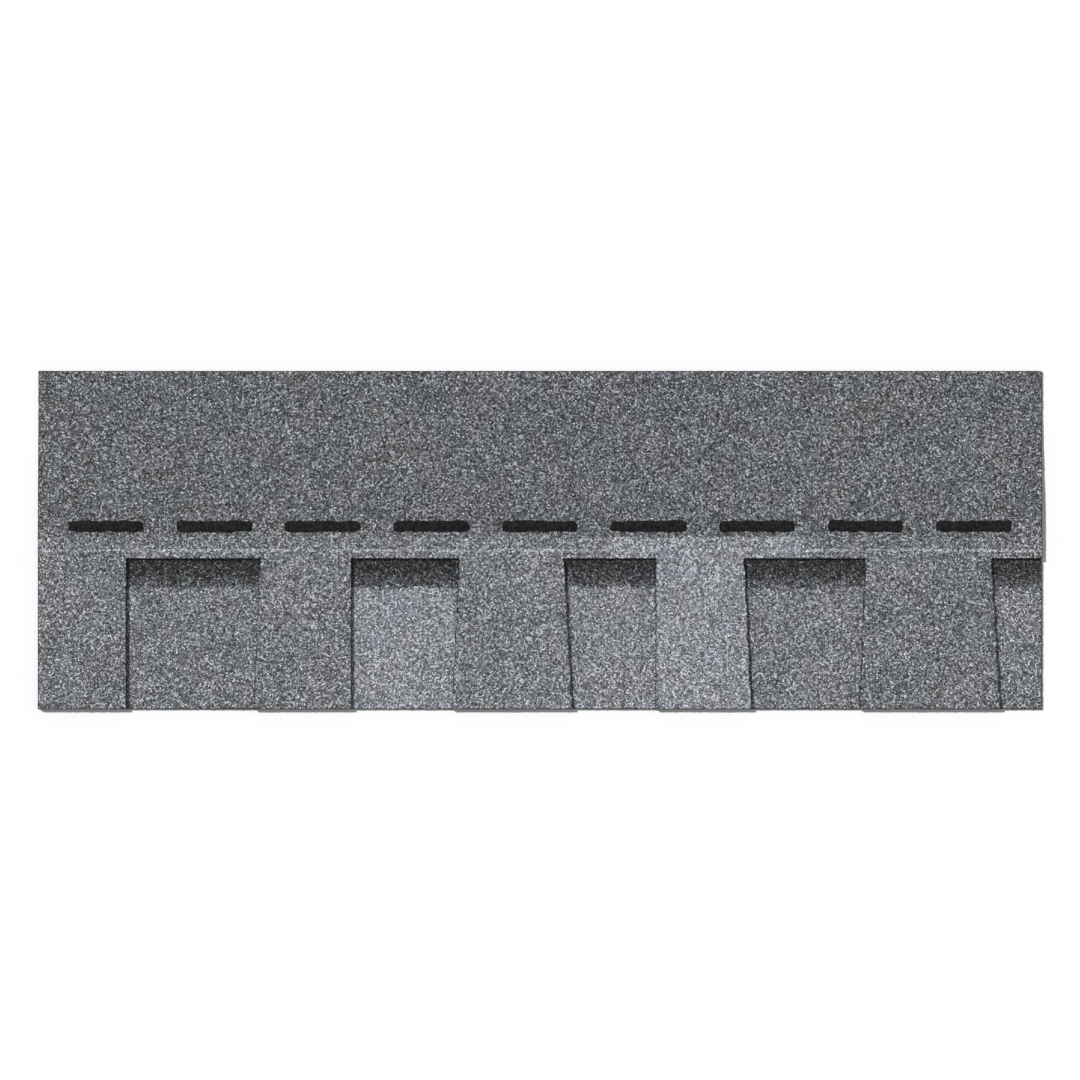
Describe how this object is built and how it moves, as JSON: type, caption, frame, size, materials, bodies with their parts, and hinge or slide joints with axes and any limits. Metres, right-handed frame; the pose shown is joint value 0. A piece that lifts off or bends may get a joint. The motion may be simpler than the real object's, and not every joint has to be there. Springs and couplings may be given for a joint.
{
  "type": "laminated asphalt shingle",
  "caption": "Laminated asphalt roofing shingle: a toothed granule-faced overlay sheet bonded to a plain backer strip, with self-seal dashes on its face and a release film behind them.",
  "frame": {"origin": "centre of the bounding box's bottom, on the floor that the shingle lies on", "axes": "+X along the length, with the butt edge towards the viewer; +Y from the butt edge to the head edge; +Z out of the granule face"},
  "size_m": [1, 0.337, 0.0063],
  "materials": {
    "overlay_granules": "matte",
    "backer_granules": "matte",
    "bond_asphalt": "satin",
    "sealant": "gloss",
    "release_film": "gloss"
  },
  "bodies": {
    "root": {"overlay_sheet": "overlay_granules", "backer_sheet": "backer_granules", "bond_strip_lap": "bond_asphalt", "bond_strip_tooth_1_1": "bond_asphalt", "bond_strip_tooth_1_2": "bond_asphalt", "bond_strip_tooth_1_3": "bond_asphalt", "bond_strip_tooth_2_1": "bond_asphalt", "bond_strip_tooth_2_2": "bond_asphalt", "bond_strip_tooth_2_3": "bond_asphalt", "bond_strip_tooth_3_1": "bond_asphalt", "bond_strip_tooth_3_2": "bond_asphalt", "bond_strip_tooth_3_3": "bond_asphalt", "bond_strip_tooth_4_1": "bond_asphalt", "bond_strip_tooth_4_2": "bond_asphalt", "bond_strip_tooth_4_3": "bond_asphalt", "bond_strip_tooth_5_1": "bond_asphalt", "bond_strip_tooth_5_2": "bond_asphalt", "bond_strip_tooth_5_3": "bond_asphalt", "sealant_dash_1": "sealant", "sealant_dash_2": "sealant", "sealant_dash_3": "sealant", "sealant_dash_4": "sealant", "sealant_dash_5": "sealant", "sealant_dash_6": "sealant", "sealant_dash_7": "sealant", "sealant_dash_8": "sealant", "sealant_dash_9": "sealant", "release_film": "release_film"}
  },
  "joints": []
}
